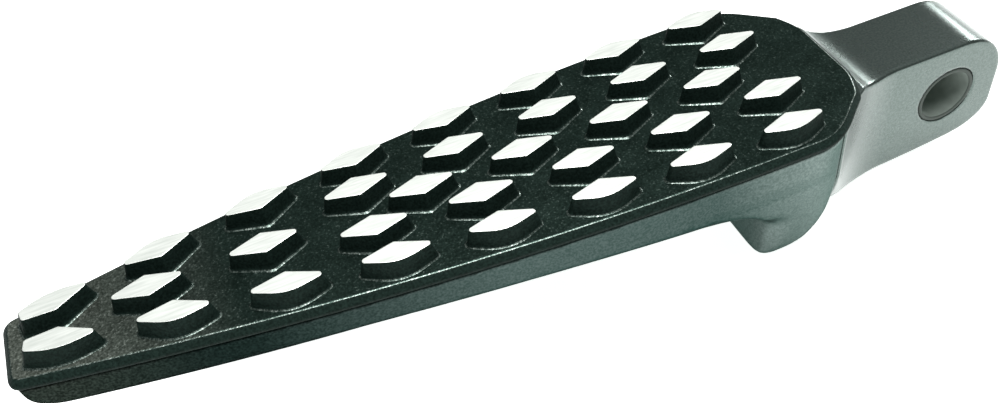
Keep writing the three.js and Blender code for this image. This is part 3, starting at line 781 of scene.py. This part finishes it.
def flank_shade_material():
    """The smooth drafted sides of the studs and the side and bevel of the plate's rim, darkened
    as painted shade.
    """
    material, tree, shader = new_material("cast_flank_painted_shade", (0.012, 0.018, 0.016), 0.0, 0.6)
    shader.inputs["Specular IOR Level"].default_value = 0.05
    grain = noise(tree, FINE_GRAIN, 3)
    colour = ramp(tree, grain, [(0.35, (0.004, 0.009, 0.007)), (0.7, (0.012, 0.023, 0.019))])
    tree.links.new(colour, shader.inputs["Base Color"])
    bump(tree, shader, [(grain, 0.04, 0.5)])
    return material


def machined_material():
    """Bright stud tops with faint cutter marks across the peg."""
    material, tree, shader = new_material("machined_bright", (0.8, 0.81, 0.79), 0.5, 0.42)
    lines = noise(tree, 1.0, 4, stretch=(260, 2600, 260))
    fine = noise(tree, 3000, 2)
    colour = ramp(tree, lines, [(0.3, (0.62, 0.65, 0.61)), (0.7, (0.8, 0.82, 0.78))])
    tree.links.new(colour, shader.inputs["Base Color"])
    bump(tree, shader, [(lines, 0.015, 0.3), (fine, 0.015, 0.3)])
    return material


def body_material():
    """Smooth anodising with a colour painted along the peg: painted shade, nearly black behind
    the tip, and painted light, lighter towards the heel. The sandy as-cast skin at the tip is
    darkened too."""
    material, tree, shader = new_material("anodised_body", (0.06, 0.08, 0.075), 0.95, 0.32)
    shader.inputs["Specular Tint"].default_value = (0.29, 0.33, 0.32, 1)
    cloud = noise(tree, CLOUDS, 2)
    grain = noise(tree, FINE_GRAIN, 2)
    # sandy as-cast skin at the tip, darkened as painted shade
    sandy = ramp(tree, grain, [(0.35, (0.008, 0.011, 0.009)), (0.7, (0.032, 0.04, 0.034))])
    # painted shade: nearly black behind the tip
    black = ramp(tree, grain, [(0.35, (0.003, 0.007, 0.006)), (0.68, (0.013, 0.022, 0.020))])
    smooth = ramp(tree, grain, [(0.35, (0.031, 0.048, 0.044)), (0.68, (0.058, 0.079, 0.075))])
    # painted light: lighter towards the heel
    heel = ramp(tree, grain, [(0.35, (0.125, 0.155, 0.146)), (0.68, (0.186, 0.226, 0.214))])
    colour = along_peg(tree, smooth, heel, *BODY_HEEL_PAINTED_LIGHT)
    colour = along_peg(tree, black, colour, *BODY_PAINTED_SHADE)
    colour = along_peg(tree, sandy, colour, *BODY_SANDY_AND_SHADE)
    tree.links.new(colour, shader.inputs["Base Color"])
    sandy_rough = ramp(tree, cloud, [(0.3, (0.48, 0.48, 0.48)), (0.7, (0.56, 0.56, 0.56))])
    smooth_rough = ramp(tree, cloud, [(0.3, (0.3, 0.3, 0.3)), (0.7, (0.36, 0.36, 0.36))])
    rough = along_peg(tree, sandy_rough, smooth_rough, *BODY_DULL)
    tree.links.new(rough, shader.inputs["Roughness"])
    bump(tree, shader, [(grain, 0.012, 0.5)])
    return material


def arm_material():
    """Satin grey anodising with a fine grain."""
    material, tree, shader = new_material("anodised_arm", (0.13, 0.15, 0.142), 0.9, 0.28)
    cloud = noise(tree, CLOUDS, 2)
    grain = noise(tree, FINE_GRAIN, 2)
    colour = ramp(tree, grain, [(0.35, (0.083, 0.106, 0.097)), (0.68, (0.122, 0.15, 0.14))])
    tree.links.new(colour, shader.inputs["Base Color"])
    tree.links.new(spread(tree, cloud, 0.27, 0.285), shader.inputs["Roughness"])
    bump(tree, shader, [(grain, 0.012, 0.5)])
    return material


def steel_material(name, colour, roughness, metallic=1.0):
    """Turned or plated steel, a little uneven in colour and gloss."""
    material, tree, shader = new_material(name, colour, metallic, roughness)
    lines = noise(tree, 900, 3)
    low = tuple(0.8 * c for c in colour)
    tree.links.new(ramp(tree, lines, [(0.3, low), (0.7, colour)]), shader.inputs["Base Color"])
    rough = spread(tree, lines, roughness - 0.06, roughness + 0.08)
    tree.links.new(rough, shader.inputs["Roughness"])
    bump(tree, shader, [(noise(tree, 3500, 2), 0.01, 0.4)])
    return material


CAST = cast_material()
MACHINED = machined_material()
FLANK_SHADE = flank_shade_material()
EDGE_HIGHLIGHT = highlight_line_material()
BODY_FINISH_SHADE_AND_LIGHT = body_material()
ARM_FINISH = arm_material()
DARK_STEEL = steel_material("dark_steel", (0.055, 0.07, 0.06), 0.8, 0.1)
BORE_PAINTED_LIGHT = steel_material("bore_steel_painted_light", (0.2, 0.235, 0.21), 0.85, 0.1)
ZINC = steel_material("zinc_plate", (0.56, 0.57, 0.56), 0.3)
SPRING_STEEL = steel_material("spring_steel", (0.33, 0.34, 0.33), 0.35)


# ---------------------------------------------------------------- pieces


def plate_piece():
    points, faces, kinds = tread_plate_mesh()
    finish = [CAST, MACHINED, FLANK_SHADE, EDGE_HIGHLIGHT]  # in the order of the material slots
    add_piece("tread_plate_cast", points, faces, "peg", finish, "tread_plate", kinds)


def casting_pieces():
    fineness = 1
    points, faces = mesh_from_field(body_field, BODY_LO, BODY_HI, BODY_CELL[fineness])
    add_piece("peg_body_cast", points, faces, "peg", [BODY_FINISH_SHADE_AND_LIGHT], "peg_body")
    points, faces = mesh_from_field(arm_field, ARM_LO, ARM_HI, ARM_CELL[fineness])
    add_piece("mount_arm_forged", points, faces, "peg", [ARM_FINISH], "mount_arm")


def bush_piece():
    """A turned sleeve with rounded edges, whose bore is painted a little brighter than its ends
    as painted light against the shade inside it.
    """
    half, outer, inner = BUSH_HI[1], BUSH_HI[0], BUSH_INNER_RADIUS
    edge, middle = BUSH_EDGE, BUSH_EDGE_MIDDLE
    profile = [
        (inner, -half + edge), (inner + middle, -half + middle), (inner + edge, -half),
        (outer - edge, -half), (outer - middle, -half + middle), (outer, -half + edge),
        (outer, half - edge), (outer - middle, half - middle), (outer - edge, half),
        (inner + edge, half), (inner + middle, half - middle), (inner, half - edge),
    ]
    spun, quads = turned([(r, z, False) for r, z in profile], BUSH_SIDES, True)
    spun = spun[:, [0, 2, 1]] * (1, 1, -1)
    kinds = [0] * len(quads)
    kinds[-BUSH_SIDES:] = [1] * BUSH_SIDES  # the last ring of faces is the bore
    # the bore's steel is lighter only as painted light
    finish = [DARK_STEEL, BORE_PAINTED_LIGHT]
    add_piece("pivot_bush_sleeve", spun, quads, "pivot", finish, "pivot_bush", kinds)


def node_span(node):
    """Middle (x, y), outer radius and lowest and highest z of an upright round node."""
    lo, hi = box_mm(node)
    return (lo[0] + hi[0]) / 2, (lo[1] + hi[1]) / 2, (hi[0] - lo[0]) / 2, lo[2], hi[2]


def screw_piece(node, name, size):
    """A domed screw with a hexagon socket and a thread, head down."""
    x, y, head, bottom, tip = node_span(node)
    shank, socket = size["shank"], size["socket"]
    top = bottom + size["head_height"]
    socket_z = bottom + size["socket_depth"]
    face = head * SCREW_FACE_SHARE
    profile = [
        (socket * 0.98, socket_z, True), (socket, socket_z - 0.05, True),
        (socket, bottom + 0.12, True), (socket + 0.1, bottom + 0.03, True),
        (face, bottom, False),
    ]
    for k in range(1, DOME_STEPS + 1):
        t = k / DOME_STEPS
        radius = (1 - t) ** 2 * face + (1 - (1 - t) ** 2) * head
        rise = 2 * t * (1 - t) * DOME_BULGE[0] + t * t * DOME_BULGE[1]
        profile.append((radius, bottom + size["head_height"] * rise, False))
    profile += [
        (head, top - SCREW_EDGE, False), (head - SCREW_EDGE, top, False),
        (shank + SCREW_FILLET, top, False), (shank, top + SCREW_FILLET, False),
    ]
    pitch = shank * THREAD_PITCH_SHARE
    start = top + THREAD_START
    for k in range(int((tip - THREAD_END - top - THREAD_START) / pitch)):
        z = start + k * pitch
        profile += [(shank, z, False), (shank * THREAD_ROOT_SHARE, z + pitch / 2, False)]
    profile += [(shank, tip - 0.5, False), (shank - 0.4, tip, False)]
    spun, quads = turned(profile, SCREW_SIDES, False)
    add_piece(name, spun + (x, y, 0), quads, "peg", [ZINC], node)


def washer_piece(node, name):
    """A split spring washer: its ends stand a little apart in height."""
    x, y, outer, low, high = node_span(node)
    inner = outer * WASHER_INNER_SHARE
    edge = WASHER_EDGE
    section = [
        (inner + edge, low), (outer - edge, low), (outer, low + edge), (outer, high - edge),
        (outer - edge, high), (inner + edge, high), (inner, high - edge), (inner, low + edge),
    ]
    around = len(section)
    rings, quads = [], []
    for i in range(WASHER_STEPS + 1):
        share = i / WASHER_STEPS
        a = WASHER_GAP + (2 * math.pi - 2 * WASHER_GAP) * share
        rise = WASHER_LIFT * (share - 0.5)
        rings += [(r * math.cos(a), r * math.sin(a), z + rise) for r, z in section]
    for i in range(WASHER_STEPS):
        quads += ring_faces((i + 1) * around, i * around, around)
    quads.append(tuple(range(around))[::-1])
    quads.append(tuple(range(WASHER_STEPS * around, (WASHER_STEPS + 1) * around)))
    quads = [tuple(q)[::-1] for q in quads]
    add_piece(name, np.array(rings) + (x, y, 0), quads, "peg", [SPRING_STEEL], node)


plate_piece()
casting_pieces()
bush_piece()
screw_piece("arm_screw", "arm_screw_domed", ARM_SCREW)
washer_piece("arm_screw_washer", "arm_screw_spring_washer")
for i in range(1, len(TREAD_SCREW_PLACES) + 1):
    screw_piece(f"tread_screw_{i}", f"tread_screw_domed_{i}", TREAD_SCREW)
    washer_piece(f"tread_screw_washer_{i}", f"tread_screw_spring_washer_{i}")

# the roll pin keeps its CAD shape
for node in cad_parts.values():
    if not node.hide_render:
        node.data.materials.clear()
        node.data.materials.append(DARK_STEEL)


# ---------------------------------------------------------------- floor, lights and camera


def area_light(name, place, aim, size, power):
    """A rectangular softbox at place, turned towards aim."""
    data = bpy.data.lights.new(name, "AREA")
    data.shape = "RECTANGLE"
    data.size, data.size_y = size
    data.energy = power
    lamp = bpy.data.objects.new(name, data)
    lamp.location = place
    lamp.rotation_mode = "QUATERNION"
    lamp.rotation_quaternion = (Vector(aim) - Vector(place)).to_track_quat("-Z", "Y")
    bpy.context.scene.collection.objects.link(lamp)


lowest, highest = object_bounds()
middle = (lowest + highest) / 2

FLOOR_HALF = 4.0
FLOOR_GAP = 0.0002  # left under the lowest point of the peg
FLOOR_GLOW = 0.95  # so that the floor shows as white as the photograph's background
floor_z = lowest.z - FLOOR_GAP
floor_corners = [(-1, -1), (1, -1), (1, 1), (-1, 1)]
floor_mesh = bpy.data.meshes.new("floor")
floor_mesh.from_pydata(
    [(x * FLOOR_HALF, y * FLOOR_HALF, floor_z) for x, y in floor_corners], [], [(0, 1, 2, 3)]
)
floor = bpy.data.objects.new("floor", floor_mesh)
bpy.context.scene.collection.objects.link(floor)
floor_material, _, floor_shader = new_material("pale_floor", (0.86, 0.86, 0.86), 0.0, 0.9)
floor_shader.inputs["Specular IOR Level"].default_value = 0.1
floor_shader.inputs["Emission Color"].default_value = (0.96, 1.0, 0.98, 1)
floor_shader.inputs["Emission Strength"].default_value = FLOOR_GLOW
floor_mesh.materials.append(floor_material)

area_light("overhead", (middle.x + 0.05, middle.y - 0.02, 0.75), middle, (0.52, 0.32), 9.5)
area_light("right_box", (0.47, 0.26, 0.19), (0, 0, 0), (0.1, 0.1), 1.1)

world = bpy.data.worlds.new("studio")
bpy.context.scene.world = world
world.use_nodes = True
backdrop = world.node_tree.nodes["Background"]
backdrop.inputs["Color"].default_value = (0.9, 1.0, 0.96, 1)
backdrop.inputs["Strength"].default_value = 0.2

# camera, in metres, fitted to the pattern of the studs
CAMERA_LENS = 37.38
CAMERA_PLACE = (-0.10044, -0.09515, 0.11049)
CAMERA_RIGHT = (0.91633, -0.38810, -0.09861)
CAMERA_UP = (0.34553, 0.64188, 0.68455)
CAMERA_BACK = (-0.20238, -0.66134, 0.72227)
camera_data = bpy.data.cameras.new("camera")
camera_data.lens = CAMERA_LENS
camera_data.sensor_width = 36
camera_data.clip_start = 0.005
camera = bpy.data.objects.new("camera", camera_data)
turn = Matrix((CAMERA_RIGHT, CAMERA_UP, CAMERA_BACK)).transposed().to_4x4()
camera.matrix_world = Matrix.Translation(CAMERA_PLACE) @ turn
bpy.context.scene.collection.objects.link(camera)
bpy.context.scene.camera = camera
bpy.context.scene.view_settings.view_transform = "Standard"
